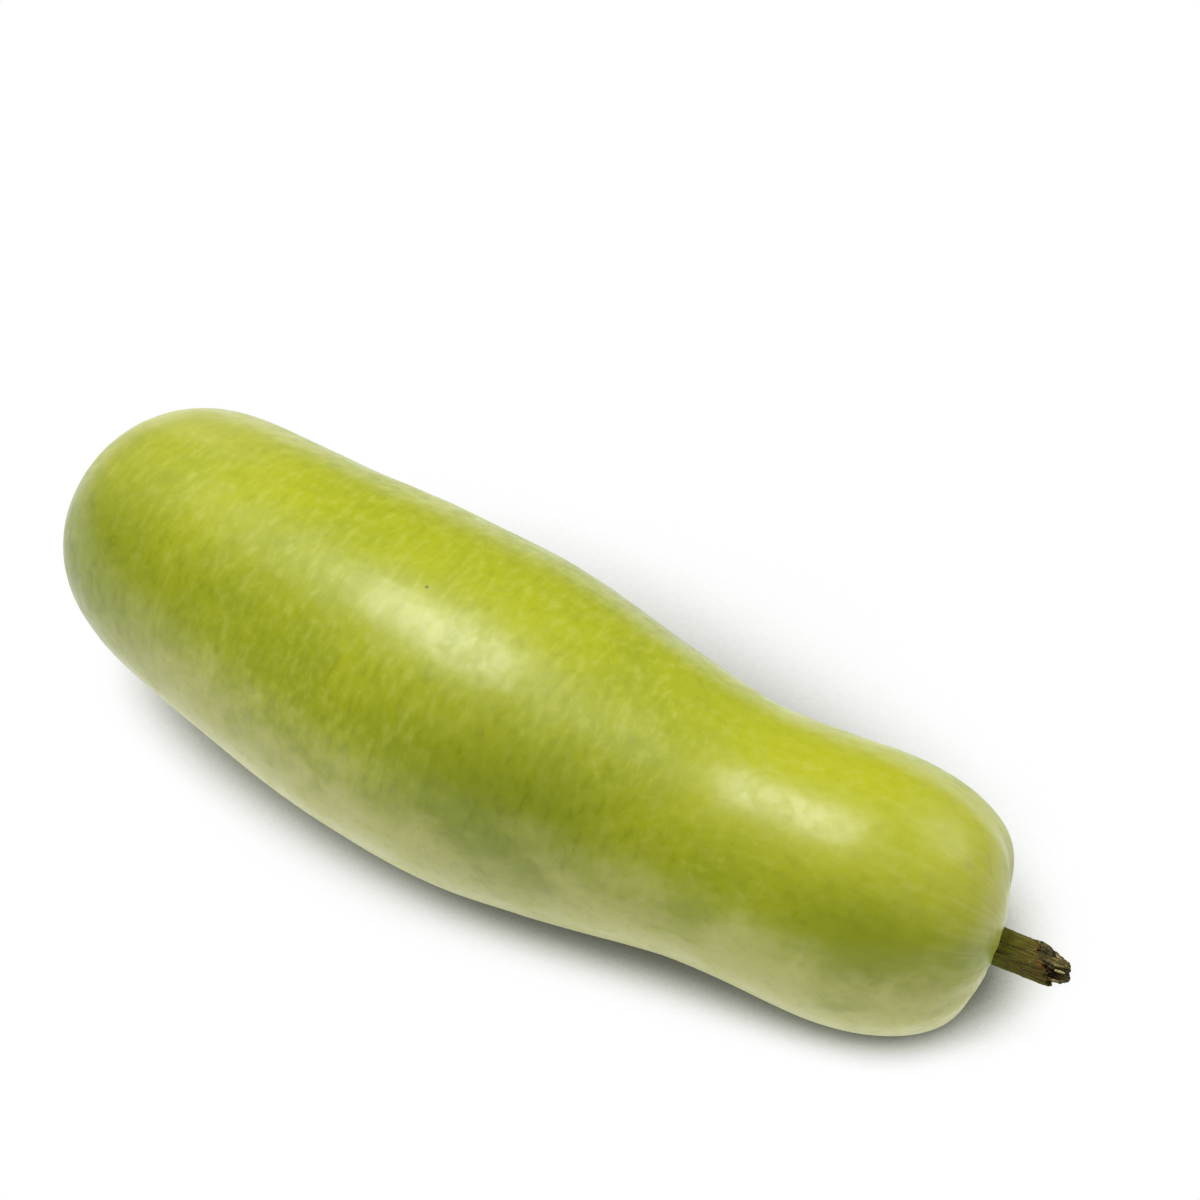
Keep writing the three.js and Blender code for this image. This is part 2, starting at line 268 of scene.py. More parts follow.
class FruitShape:
    """The fruit as a turned outline on a bowed middle line, in metres from the blossom pole."""

    def __init__(self, sizes):
        self.sizes = sizes
        self.radii = np.array(sizes.radii)
        self.length = sizes.length
        belly_at = sizes.belly_rest * self.length
        bulb_at = sizes.bulb_rest * self.length
        belly, bulb = self.radius(belly_at), self.radius(bulb_at)
        self.slope = (bulb - belly) / (bulb_at - belly_at)
        self.start_height = belly - sizes.flat_depth - self.slope * belly_at
        self.shift = Vector((0, 0, 0))
        self.shift = self.shift_to_frame()

    def body_radius(self, along):
        """The radius before the ends close, on a smooth curve through the even steps."""
        last = len(self.radii) - 1
        place = np.clip(np.asarray(along, float) / self.length, 0, 1) * last
        step = np.minimum(np.floor(place).astype(int), last - 1)
        part = place - step
        before, here, after, beyond = (self.radii[np.clip(step + k, 0, last)] for k in (-1, 0, 1, 2))
        rise_here, rise_after = (after - before) / 2, (beyond - here) / 2
        return ((2 * here - 2 * after + rise_here + rise_after) * part ** 3
                + (3 * after - 3 * here - 2 * rise_here - rise_after) * part ** 2
                + rise_here * part + here)

    def radius(self, along):
        """The radius with both ends closed."""
        s = self.sizes
        share = 1.0
        for cap, roundness, fall in ((s.blossom_cap, s.blossom_roundness, along),
                                     (s.stem_cap, s.stem_roundness, self.length - along)):
            inside = np.clip(1 - fall / cap, 0, 1)
            share = share * (1 - inside ** roundness) ** (1 / roundness)
        return self.body_radius(along) * share

    def end_rings(self, cap, roundness, dent, full_radius):
        """Rings of one end from the dent's floor outwards, as (radius, fall from the pole). Outside the rim
        the radius is None, and follows from the body."""
        floor_radius, rim_radius, depth = dent
        rings = []
        for radius in np.linspace(floor_radius, rim_radius, DENT_RINGS):
            fall = cap * (1 - (1 - (radius / full_radius) ** roundness) ** (1 / roundness))
            rings.append((radius, fall + depth * (1 - smooth_step(radius, floor_radius, rim_radius))))
        for angle in np.linspace(0, math.pi / 2, END_RINGS + 1)[1:]:
            share = math.sin(angle) ** (2 / roundness)
            fall = cap * (1 - max(0.0, math.cos(angle)) ** (2 / roundness))
            if share * full_radius > rim_radius * RIM_CLEARANCE:
                rings.append((None, fall))
        return rings

    def outline(self):
        """The outline as (radius, along) pairs, from the blossom dent's floor to the hollow's floor."""
        s = self.sizes
        first = self.end_rings(s.blossom_cap, s.blossom_roundness, BLOSSOM_DENT, self.radii[0])
        last = self.end_rings(s.stem_cap, s.stem_roundness, STEM_HOLLOW, self.radii[-1])
        rings = [(self.radius(fall) if radius is None else radius, fall) for radius, fall in first]
        for along in np.linspace(s.blossom_cap, self.length - s.stem_cap, BODY_RINGS)[1:-1]:
            rings.append((self.radius(along), along))
        for radius, fall in reversed(last):
            along = self.length - fall
            rings.append((self.radius(along) if radius is None else radius, along))
        return [(float(radius), float(along)) for radius, along in rings]

    def bowed(self, along):
        """How far the middle line stands sideways, and how steeply it leans there."""
        share = along / self.length
        deepest = -4 * self.sizes.bow
        return deepest * share * (1 - share), deepest * (1 - 2 * share) / self.length

    def middle(self, along):
        """A place on the middle line."""
        return Vector((along, self.bowed(along)[0], self.start_height + self.slope * along)) + self.shift

    def directions(self, along):
        """Onward along the middle line, to its side and upwards."""
        onward = Vector((1, self.bowed(along)[1], self.slope)).normalized()
        side = Vector((0, 0, 1)).cross(onward).normalized()
        return onward, side, onward.cross(side)

    def ring_box(self):
        """The box round all rings."""
        corners = []
        for radius, along in self.outline():
            centre = self.middle(along)
            _, side, up = self.directions(along)
            for turn in np.linspace(0, 2 * math.pi, FRUIT_SIDES + 1):
                corners.append(centre + radius * (math.cos(turn) * side + math.sin(turn) * up))
        return np.min(corners, axis=0), np.max(corners, axis=0)

    def shift_to_frame(self):
        """From this shape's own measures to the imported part's place, set by the blossom end and the sides."""
        low, high = self.ring_box()
        frame_low, frame_high = (np.array(corner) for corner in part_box("fruit"))
        across = (frame_low + frame_high) / 2 - (low + high) / 2
        return Vector((frame_low[0] - low[0], across[1], 0))

    def measure(self, points):
        """For each point: how far along the middle line, how far from it and the turn round it."""
        along = points[:, 0] - self.shift.x
        for _ in range(NEAREST_ROUNDS):
            aside, lean = self.bowed(along)
            centre = np.stack([along + self.shift.x, aside + self.shift.y,
                               self.start_height + self.slope * along], axis=1)
            onward = np.stack([np.ones_like(along), lean, np.full_like(along, self.slope)], axis=1)
            onward /= np.linalg.norm(onward, axis=1, keepdims=True)
            along = along + ((points - centre) * onward).sum(axis=1)
        side = np.cross([0, 0, 1], onward)
        side /= np.linalg.norm(side, axis=1, keepdims=True)
        up = np.cross(onward, side)
        offset = points - centre
        across, above = (offset * side).sum(axis=1), (offset * up).sum(axis=1)
        return along, np.hypot(across, above), np.arctan2(above, across)


# ---------------------------------------------------------------- modelling helpers

# A vertex with less weight is left out of its group, a smaller turn between rings is left out, and a piece
# that reaches less far to one side counts as reaching this far.
LEAST_WEIGHT = 0.001
LEAST_TURN = 1e-6
LEAST_REACH = 1e-6


def pick(*pieces):
    """Selects only these pieces and makes the first one active."""
    bpy.ops.object.select_all(action="DESELECT")
    for piece in pieces:
        piece.select_set(True)
    bpy.context.view_layer.objects.active = pieces[0]


def edit(piece, chosen="DESELECT"):
    """Opens a piece in edit mode with nothing selected, or with all of it."""
    pick(piece)
    bpy.ops.object.mode_set(mode="EDIT")
    bpy.ops.mesh.select_all(action=chosen)


def done():
    """Back to object mode."""
    bpy.ops.object.mode_set(mode="OBJECT")


def points_of(piece):
    """The places of a piece's vertices, one row each."""
    mesh = piece.data
    places = np.empty(len(mesh.vertices) * 3)
    mesh.vertices.foreach_get("co", places)
    return places.reshape(-1, 3)


def select_points(piece, chosen):
    """Opens a piece in edit mode with the chosen vertices selected."""
    edit(piece)
    done()
    piece.data.vertices.foreach_set("select", np.asarray(chosen, bool))
    bpy.ops.object.mode_set(mode="EDIT")
    bpy.ops.mesh.select_mode(type="VERT")


def modify(piece, kind, **settings):
    """Adds a modifier and applies it at once."""
    pick(piece)
    modifier = piece.modifiers.new(kind.lower(), kind)
    for name, value in settings.items():
        setattr(modifier, name, value)
    bpy.ops.object.modifier_apply(modifier=modifier.name)


def refine(piece):
    """Rounds a piece off and gives it finer faces."""
    modify(piece, "SUBSURF", levels=2, render_levels=2)


def swell(piece, name, weights, height, level=0.0, way="NORMAL"):
    """Paints one weight per vertex and raises the piece by them, outwards or along an axis. The level is the
    height that stays where it was, as a share."""
    group = piece.vertex_groups.new(name=name)
    for index, weight in enumerate(weights):
        if weight > LEAST_WEIGHT:
            group.add([index], float(weight), "REPLACE")
    modify(piece, "DISPLACE", strength=height, mid_level=level, vertex_group=group.name, direction=way)


def loft(name, rings, sides, closed=(True, True)):
    """Draws a tube through rings: a circle is added at the first ring, then extruded, resized and turned
    to each next one. An end that is closed is drawn together to a point.
    Each ring is (radius, centre, onward, side, up)."""
    radius, centre, onward, side, up = rings[0]
    turn = Matrix((side, up, onward)).transposed().to_euler()
    bpy.ops.object.select_all(action="DESELECT")
    bpy.ops.mesh.primitive_circle_add(vertices=sides, radius=radius, location=centre, rotation=turn)
    piece = bpy.context.object
    piece.name = name
    bpy.ops.object.transform_apply(location=True, rotation=True, scale=True)
    bpy.ops.object.mode_set(mode="EDIT")
    bpy.ops.mesh.select_all(action="SELECT")
    for next_radius, next_centre, next_onward, _, _ in rings[1:]:
        bpy.ops.mesh.extrude_region_move(TRANSFORM_OT_translate={"value": next_centre - centre})
        bpy.ops.transform.resize(value=[next_radius / radius] * 3, center_override=next_centre)
        yaw = math.atan2(next_onward.y, next_onward.x) - math.atan2(onward.y, onward.x)
        if abs(yaw) > LEAST_TURN:
            # With no window the operator turns the other way, so the angle is negative.
            bpy.ops.transform.rotate(value=-yaw, orient_axis="Z", center_override=next_centre)
        radius, centre, onward = next_radius, next_centre, next_onward
    if closed[1]:
        close_end()
    done()
    if closed[0]:
        select_points(piece, np.arange(len(piece.data.vertices)) < sides)
        close_end()
        done()
    face_outwards(piece)
    return piece


def close_end():
    """Draws the selected ring together to a point."""
    bpy.ops.mesh.extrude_region_move(TRANSFORM_OT_translate={"value": (0, 0, 0)})
    bpy.ops.mesh.merge(type="CENTER")


def straight_rings(profile):
    """Rings for a loft along X, from (radius, along) pairs or (radius, along, y, z) where the middle
    leaves the axis."""
    onward, side, up = Vector((1, 0, 0)), Vector((0, 1, 0)), Vector((0, 0, 1))
    return [(radius, Vector((along, *(off or (0, 0)))), onward, side, up) for radius, along, *off in profile]


def curved_rings(outline):
    """Rings of a small piece along X that curves up, from (radius, along, lift) in millimetres."""
    return straight_rings([(radius * MM, along * MM, 0, lift * MM) for radius, along, lift in outline])


def face_outwards(piece):
    """Turns all faces of a piece outwards."""
    edit(piece, "SELECT")
    bpy.ops.mesh.normals_make_consistent(inside=False)
    done()


def resize(piece, factors, centre):
    """Resizes a whole piece about a place."""
    edit(piece, "SELECT")
    bpy.ops.transform.resize(value=factors, center_override=centre)
    done()


def roughen(piece, name, size, strength, group="", depth=2):
    """Lumps and pits of one size over a piece, or over its painted part."""
    texture = bpy.data.textures.new(name, "CLOUDS")
    texture.noise_scale = size
    texture.noise_depth = depth
    modify(piece, "DISPLACE", texture=texture, texture_coords="LOCAL", strength=strength, mid_level=0.5,
           vertex_group=group)


def put(piece, place, onward, side, up):
    """Moves a piece that was modelled along X to its place."""
    turn = Matrix((onward, side, up)).transposed().to_4x4()
    place_by(piece, Matrix.Translation(place) @ turn)


def place_by(piece, matrix):
    """Places a piece and applies that, so that its object stays at the origin."""
    pick(piece)
    piece.matrix_world = matrix
    bpy.ops.object.transform_apply(location=True, rotation=True, scale=True)


def ribs(turn, seed, count, lowest, highest):
    """Uneven ribs round a piece, from 0 in the grooves to 1 on the ribs."""
    draw = random.Random(seed)
    height = np.zeros_like(turn)
    for _ in range(count):
        waves = draw.randint(lowest, highest)
        height = height + np.cos(waves * turn + draw.uniform(0, 2 * math.pi))
    return np.clip(0.5 + height / (2.2 * math.sqrt(count)), 0, 1)


def mark_round(piece, name):
    """Stores each point's place round a piece that lies along X: the way along it, and the cosine and sine
    of the turn round it."""
    points = points_of(piece)
    turn = np.arctan2(points[:, 2], points[:, 1])
    store(piece, name, np.stack([points[:, 0], np.cos(turn), np.sin(turn)], axis=1))


def store(piece, name, vectors):
    """Keeps one vector per point on a piece, for its finish."""
    attribute = piece.data.attributes.new(name, "FLOAT_VECTOR", "POINT")
    attribute.data.foreach_set("vector", np.asarray(vectors, np.float32).ravel())


def press_flat(piece):
    """Presses whatever is below the floor up to it."""
    select_points(piece, points_of(piece)[:, 2] < 0)
    bpy.ops.transform.resize(value=(1, 1, 0), center_override=(0, 0, 0))
    done()


def keep_inside(piece, box):
    """Shrinks a piece by the little that it stands out of a box, about the box's middle on the floor."""
    low, high = (np.array(corner) for corner in box)
    middle = (low + high) / 2
    middle[2] = 0
    points = points_of(piece)
    reach_low, reach_high = points.min(axis=0) - middle, points.max(axis=0) - middle
    ratios = [(high - middle) / np.maximum(reach_high, LEAST_REACH)]
    ratios.append(((low - middle) / np.minimum(reach_low, -LEAST_REACH))[:2])
    ratio = min(1.0, *(value for group in ratios for value in group if value > 0))
    resize(piece, [ratio] * 3, middle)


# ---------------------------------------------------------------- materials

# Zones of the skin, as the ways along the fruit in millimetres at which each is absent and full.
# Of these, blossom, waist, bulb_ends, neck_begins, neck_ends and shoulder shape the painted shade, blossom_top
# and blossom_side the painted sheen, and underside the pale underside with its painted reflection.
SKIN_ZONES = {
    "blossom_top": (85, 25), "blossom_side": (105, 60), "blossom": (130, 40), "underside": (30, 120),
    "waist": (155, 205), "neck_begins": (155, 200), "neck_ends": (240, 212), "bulb": (225, 280),
    "bulb_ends": (305, 280), "shoulder": (275, 305), "patch_begins": (262, 290), "patch_ends": (326, 306),
}
# Ways along the fruit at which the pale skin by the stem is absent and full.
STEM_SHOULDER = (292 * MM, 372 * MM)
# The green patch by the stem: its direction, as shares up and to the near side, and its edge that way.
PATCH_UP, PATCH_NEAR = 0.53, 0.848
PATCH_EDGE = (0.88, 0.985)
# A speck's edge, as distances from the middle of its cell.
SPECK_EDGE = (0.018, 0.035)
# Ways along the bark at which its green foot and its brown end are absent and full.
BARK_FOOT, BARK_END = (13 * MM, 4 * MM), (11 * MM, 18 * MM)
# The floor's shade: the direction, leaning to the camera's side, in which the floor looks for the gourd that
# hides the sky, how far and how finely it looks, the tint, and how bright the floor is where it is nearly
# black.
SHADE_LEAN = Vector((0.1, -0.7, 1.0)).normalized()
SHADE_REACH, SHADE_SAMPLES = 0.5, 32
SHADE_TINT = (0.93, 0.965, 0.70, 1)
NEARLY_BLACK = 0.10
WHITE, BLACK = (1, 1, 1, 1), (0, 0, 0, 1)


def math_operator(operation, turned=False):
    """Makes one operator of Value, which adds a Math node."""
    def operator(value, other):
        return value.finish.math(operation, *((other, value) if turned else (value, other)))
    return operator


class Value:
    """A number that varies over a surface. Its operators add Math nodes, so maths reads as a formula."""

    __add__, __radd__ = math_operator("ADD"), math_operator("ADD", turned=True)
    __sub__, __rsub__ = math_operator("SUBTRACT"), math_operator("SUBTRACT", turned=True)
    __mul__, __rmul__ = math_operator("MULTIPLY"), math_operator("MULTIPLY", turned=True)

    def __init__(self, finish, socket):
        self.finish = finish
        self.socket = socket


class Finish:
    """The nodes of one material, or of the world."""

    def __init__(self, owner):
        owner.use_nodes = True
        self.owner = owner
        self.tree = owner.node_tree
        self.tree.nodes.clear()

    def node(self, kind, settings=None, sockets=None, output=0):
        """Adds a node, makes its settings, fills or links its sockets, and returns one of its outputs."""
        node = self.tree.nodes.new(kind)
        for name, value in (settings or {}).items():
            setattr(node, name, value)
        for name, value in (sockets or {}).items():
            if isinstance(value, Value):
                self.tree.links.new(value.socket, node.inputs[name])
            else:
                node.inputs[name].default_value = value
        return Value(self, node.outputs[output]) if node.outputs else None

    def math(self, operation, *values):
        return self.node("ShaderNodeMath", {"operation": operation}, dict(enumerate(values)))

    def attribute(self, name):
        return self.node("ShaderNodeAttribute", {"attribute_name": name}, output="Vector")

    def object_place(self):
        return self.node("ShaderNodeTexCoord", output="Object")

    def part(self, vector, axis):
        return self.node("ShaderNodeSeparateXYZ", None, {0: vector}, output=axis)

    def noise(self, place, scale, detail, roughness=0.5, distortion=0.0):
        return self.node("ShaderNodeTexNoise", None, {
            "Vector": place, "Scale": scale, "Detail": detail,
            "Roughness": roughness, "Distortion": distortion})

    def streaks(self, place, along, around, *noise):
        """Noise that is drawn out, from the scales along a piece and round it."""
        stretched = self.node("ShaderNodeVectorMath", {"operation": "MULTIPLY"},
                              {0: place, 1: (along, around, around)})
        return self.noise(stretched, 1, *noise)

    def cells(self, place, scale):
        return self.node("ShaderNodeTexVoronoi", None, {"Vector": place, "Scale": scale})

    def rise(self, value, low, high):
        """0 below low, 1 above high, smooth between. With low above high it falls."""
        return self.node("ShaderNodeMapRange", {"interpolation_type": "SMOOTHSTEP"}, {
            "Value": value, "From Min": low, "From Max": high, "To Min": 0.0, "To Max": 1.0})

    def layers(self, colour, *coats):
        """Lays colours over a first one, each as (share, colour)."""
        for share, coat in coats:
            colour = self.node("ShaderNodeMix", {"data_type": "RGBA"}, {0: share, 6: colour, 7: coat},
                               output=2)
        return colour

    def bump(self, height, distance):
        return self.node("ShaderNodeBump", None, {"Height": height, "Distance": distance})

    def surface(self, colour, relief, roughness, specular, coat=0.0, coat_roughness=0.03):
        """Ends the material in one Principled shader."""
        shader = self.node("ShaderNodeBsdfPrincipled", None, {
            "Base Color": colour, "Normal": relief, "Roughness": roughness,
            "Specular IOR Level": specular, "Coat Weight": coat, "Coat Roughness": coat_roughness})
        self.node("ShaderNodeOutputMaterial", None, {"Surface": shader})
        return self.owner


def piece_finish(name, attribute):
    """Begins a material, with the place round the piece and the place in the object."""
    f = Finish(bpy.data.materials.new(name))
    return f, f.attribute(attribute), f.object_place()


def skin_finish(colours):
    """Waxy yellow-green skin: cloudy green patches, a riper top, pale strokes that run round the belly and
    along the bulb, a pale underside that is partly a painted reflection of the floor, pale pleats and
    rubbed places by the stem, a few dark specks and a satin gloss that the blotches break up. Painted shade
    darkens the waist, neck, shoulder and blossom end away from the top, and painted sheen lightens the top
    by the stem and the top and far side of the blossom end."""
    f, place, body = piece_finish("gourd_skin", "skin_place")
    way, side, height = (f.part(place, axis) for axis in "XYZ")
    zone = {name: f.rise(way, absent * MM, full * MM) for name, (absent, full) in SKIN_ZONES.items()}
    bulb = zone["bulb"]
    neck = zone["neck_begins"] * zone["neck_ends"]
    patch = (f.rise(height * PATCH_UP - side * PATCH_NEAR, *PATCH_EDGE)
             * zone["patch_begins"] * zone["patch_ends"])
    top = f.rise(height, 0.55, 0.98)
    clouds = f.rise(f.noise(body, 26, 3, 0.55, 0.6), 0.38, 0.68)
    blotches = f.rise(f.noise(body, 95, 3, 0.6, 0.8), 0.42, 0.66)
    mottle = f.noise(body, 300, 2, 0.5, 0.4)
    ripples = f.noise(body, 55, 3, 0.5, 0.8)
    broad = f.rise(f.streaks(place, 14, 0.7, 2), 0.35, 0.70)
    strokes = (f.streaks(place, 390, 8, 2, 0.5, 0.1) * (1 - bulb)
               + f.streaks(place, 170, 13, 2, 0.5, 0.2) * bulb)
    fine = f.rise(f.streaks(place, 700, 22, 2, 0.6), 0.42, 0.75)
    pleats = f.rise(f.streaks(place, 14, 13, 3, 0.55, 0.6), 0.40, 0.68)
    near_stem = f.rise(way + (ripples - 0.5) * 0.05, *STEM_SHOULDER)
    specks = (1 - f.rise(f.cells(body, 42), *SPECK_EDGE)) * f.rise(f.noise(body, 31, 0), 0.62, 0.66)
    scuffs = near_stem * (1 - patch) * f.rise(f.noise(body, 130, 3, 0.6, 0.4), 0.57, 0.70)
    flecks = (f.rise(strokes, 0.48, 0.72) * (0.34 - bulb * 0.10) + f.rise(mottle, 0.50, 0.76) * 0.22
              + fine * 0.06)
    gaps = f.rise(strokes, 0.47, 0.27) * (0.40 - bulb * 0.24) + f.rise(mottle, 0.46, 0.26) * 0.22
    # Painted shade: deeper green away from the top on the waist, neck, shoulder by the stem and blossom end,
    # with a painted shadow over the neck; the darker patch by the stem is added in.
    painted_shade = (zone["waist"] * 0.15 * (1 - bulb * zone["bulb_ends"] * 0.8) + neck * 0.56
               + zone["shoulder"] * 0.12 + zone["blossom"] * 0.60 + patch * 0.35)
    # Pale pleat streaks by the stem, and painted sheen: paler skin along the top by the stem and on the top and
    # far side of the blossom end.
    pale = (near_stem * (0.10 + pleats * 0.45 + top * 0.25) * (1 - patch * 0.8)
            + zone["blossom_top"] * top * 0.22
            + zone["blossom_side"] * f.rise(side, -0.12, 0.12) * 0.24)
    # The pale underside: partly paler skin, partly a painted reflection of the white floor along the lower
    # edge.
    low = f.rise(height + (ripples - 0.5) * 0.8 + (clouds - 0.5) * 0.25, 0.36, -0.18)
    low = low * (0.08 + 0.92 * zone["underside"]) * (1 - neck * 0.22)
    colour = f.layers(
        colours.skin,
        (clouds * 0.50 + broad * 0.22 + blotches * 0.28, colours.skin_dark),
        (top * (0.22 + bulb * 0.45), colours.skin_ripe),
        (flecks, colours.fleck),
        # Deep green between the pale strokes, and the painted shade away from the top.
        (gaps * (1 - top * 0.45) + painted_shade * (1 - top), colours.skin_deep_and_shade),
        # Pale streaks by the stem, and the painted sheen.
        (pale, colours.skin_pale_and_sheen),
        # The pale underside, partly a painted reflection of the floor.
        (low * (0.88 - 0.14 * f.rise(mottle, 0.5, 0.3)), colours.skin_pale_and_sheen),
        (scuffs * 0.45, colours.skin_scuff),
        (specks * 0.7, colours.skin_speck))
    relief = f.bump(f.noise(body, 150, 1, 0.4) * 1.5 + mottle * 0.5, 0.09 * MM)
    return f.surface(colour, relief, 0.34 + 0.06 * fine + 0.10 * blotches, 0.48, 0.12, 0.21)


def bark_finish(colours):
    """Dry ridged stem: olive brown with dark lines along it, more green at the foot, browner at the tear."""
    f, place, body = piece_finish("gourd_bark", "stem_place")
    way = f.part(place, "X")
    lines = f.streaks(place, 70, 9, 4, 0.6, 0.4)
    threads = f.streaks(place, 160, 26, 3, 0.6)
    patches = f.noise(body, 260, 3)
    colour = f.layers(
        colours.bark_dark,
        (f.rise(threads, 0.30, 0.66), colours.bark),
        (f.rise(way, *BARK_FOOT) * 0.5 + f.rise(patches, 0.52, 0.70) * 0.35, colours.bark_green),
        (f.rise(way, *BARK_END) * f.rise(patches, 0.60, 0.42), colours.bark_brown),
        (f.rise(lines, 0.46, 0.36) * 0.85, colours.bark_dark),
        (f.rise(f.noise(body, 900, 2, 0.6), 0.60, 0.72) * 0.5, colours.bark_grey))
    return f.surface(colour, f.bump(lines * 0.7 + threads * 0.6 + patches * 0.3, 0.5 * MM), 0.8, 0.25)


def wood_finish(colours):
    """Dry broken core: brown and fibrous, with near-black pits."""
    f, place, body = piece_finish("gourd_wood", "stem_place")
    fibres = f.streaks(place, 110, 22, 4, 0.65, 0.3)
    pits = f.noise(body, 420, 3, 0.55)
    colour = f.layers(
        colours.wood_dark,
        (f.rise(fibres, 0.34, 0.66), colours.wood),
        (f.rise(f.noise(body, 700, 2), 0.58, 0.70) * 0.5, colours.fibre),
        (f.rise(pits, 0.50, 0.40) * 0.9, colours.wood_dark))
    return f.surface(colour, f.bump(fibres * 0.8 + pits * 0.6, 0.7 * MM), 0.88, 0.25)


def fibre_finish(colours):
    """Dry strands, from beige to brown."""
    f, _, body = piece_finish("gourd_fibre", "stem_place")
    colour = f.layers(colours.wood, (f.rise(f.noise(body, 380, 2), 0.42, 0.60), colours.fibre))
    return f.surface(colour, f.bump(f.noise(body, 2400, 2), 0.2 * MM), 0.8, 0.3)


def flake_finish(colours):
    """Splinters of bark: olive and brown, paler on the torn faces."""
    f, _, body = piece_finish("gourd_flake", "stem_place")
    colour = f.layers(
        colours.bark_brown,
        (f.rise(f.noise(body, 330, 3, 0.55), 0.40, 0.62), colours.bark_grey),
        (f.rise(f.noise(body, 1100, 2), 0.52, 0.40) * 0.7, colours.bark_dark))
    return f.surface(colour, f.bump(f.noise(body, 1500, 3, 0.6), 0.4 * MM), 0.82, 0.3)


def cork_finish(colours):
    """Corky scar: grey brown, darker in its cracks."""
    f, place, body = piece_finish("gourd_cork", "stem_place")
    cracks = f.streaks(place, 0, 4, 4, 0.6)
    grain = f.noise(body, 1300, 3, 0.6)
    colour = f.layers(
        colours.bark_brown,
        (f.rise(cracks, 0.38, 0.56), colours.cork),
        (f.rise(grain, 0.50, 0.38) * 0.6, colours.bark_dark))
    return f.surface(colour, f.bump(cracks + grain * 0.5, 0.4 * MM), 0.9, 0.2)


def floor_finish(stage):
    """Pale floor. The camera and reflections see it white where it is open to the sky, and grey by how much
    of the sky the gourd hides from it."""
    f = Finish(bpy.data.materials.new("stage_floor"))
    camera, glossy, clear = (f.node("ShaderNodeLightPath", output=f"Is {kind} Ray")
                             for kind in ("Camera", "Glossy", "Transmission"))
    seen = f.math("MAXIMUM", camera, f.math("MAXIMUM", glossy, clear))
    lit = f.node("ShaderNodeBsdfDiffuse", None, {"Color": stage.floor_colour})
    leaning = f.node("ShaderNodeCombineXYZ", None, dict(enumerate(SHADE_LEAN)))
    sky = f.node("ShaderNodeAmbientOcclusion", {"samples": SHADE_SAMPLES},
                 {"Distance": SHADE_REACH, "Normal": leaning}, output="AO")
    black_at, white_at = stage.open_share
    bright = (f.rise(sky, black_at, white_at) * (1 - NEARLY_BLACK)
              + f.rise(sky, 0.0, black_at) * NEARLY_BLACK)
    shaded = f.layers(BLACK, (bright, f.layers(SHADE_TINT, (bright, WHITE))))
    mirrored = 1 + (stage.floor_brightness - 1) * glossy
    white = f.node("ShaderNodeEmission", None, {"Color": shaded, "Strength": mirrored})
    both = f.node("ShaderNodeMixShader", None, {0: seen, 1: lit, 2: white})
    f.node("ShaderNodeOutputMaterial", None, {"Surface": both})
    return f.owner


def sky_light(world, stage):
    """Even white light from all round, stronger from above. The camera sees plain white."""
    f = Finish(world)
    height = f.part(f.node("ShaderNodeTexCoord", output="Generated"), "Z")
    strength = stage.horizon_strength + (
        stage.zenith_strength - stage.horizon_strength) * f.math("MAXIMUM", height, 0.0)
    sky, plain = (f.node("ShaderNodeBackground", None, {"Color": WHITE, "Strength": light})
                  for light in (strength, 1.0))
    seen = f.node("ShaderNodeLightPath", output="Is Camera Ray")
    both = f.node("ShaderNodeMixShader", None, {0: seen, 1: sky, 2: plain})
    f.node("ShaderNodeOutputWorld", None, {"Surface": both})


# ---------------------------------------------------------------- operators

def finish_piece(piece, finish):
    """Gives a finished piece its material and smooth shading, and ties it to the frame."""
    piece.data.materials.clear()
    piece.data.materials.append(finish(bpy.context.scene.gourd_colours))
    for polygon in piece.data.polygons:
        polygon.use_smooth = True
    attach(piece, "root")


def press_furrows(fruit, shape, sizes):
    """Furrows run from the hollow's rim over the bulb and fade out. Between them the lobes swell up
    round the hollow, fine pleats run over their shoulders, and the end falls back on one side."""
    along, radius, turn = shape.measure(points_of(fruit))
    share = np.zeros(len(turn))
    for furrow in FURROWS_AT:
        offset = (turn - furrow + math.pi) % (2 * math.pi) - math.pi
        share = np.maximum(share, np.exp(-(offset / sizes.furrow_width) ** 2))
    begun = smooth_step(along, FURROWS_FROM * shape.length, shape.length - STEM_HOLLOW[1])
    clear = begun * smooth_step(radius, STEM_HOLLOW[0], STEM_HOLLOW[1])
    near_rim = clear * (1 - smooth_step(radius, STEM_HOLLOW[1], LOBE_END))
    falling = 0.5 + 0.5 * np.cos(turn - RIM_FALL_AT)
    near_stem = smooth_step(shape.length - along, *PLEATS_OVER)
    pleats = near_stem * ribs(turn, seed=7, count=9, lowest=9, highest=23)
    swell(fruit, "furrows", share * clear, -sizes.furrow_depth)
    swell(fruit, "pleats", pleats * clear, -sizes.pleat_depth)
    swell(fruit, "lobes", near_rim * (1 - share), sizes.lobe_height, way="X")
    swell(fruit, "fall", near_rim * falling, -sizes.rim_fall, way="X")


def mark_skin(fruit, shape):
    """Stores each point's place on the skin: the way along it from the blossom pole, and the cosine
    and sine of the turn round it."""
    rings = shape.outline()
    outline = np.array([(0.0, rings[0][1]), *rings, (0.0, rings[-1][1])])
    legs = np.diff(outline, axis=0)
    lengths = np.hypot(legs[:, 0], legs[:, 1])
    ways = np.concatenate([[0], np.cumsum(lengths)])
    along, radius, turn = shape.measure(points_of(fruit))
    spots = np.stack([radius, along], axis=1)
    best = np.full(len(spots), np.inf)
    way = np.zeros(len(spots))
    for start, leg, length, passed in zip(outline, legs, lengths, ways):
        share = np.clip(((spots - start) @ leg) / length ** 2, 0, 1)
        gap = np.hypot(*(start + share[:, None] * leg - spots).T)
        nearer = gap < best
        best[nearer] = gap[nearer]
        way[nearer] = passed + share[nearer] * length
    store(fruit, "skin_place", np.stack([way, np.cos(turn), np.sin(turn)], axis=1))


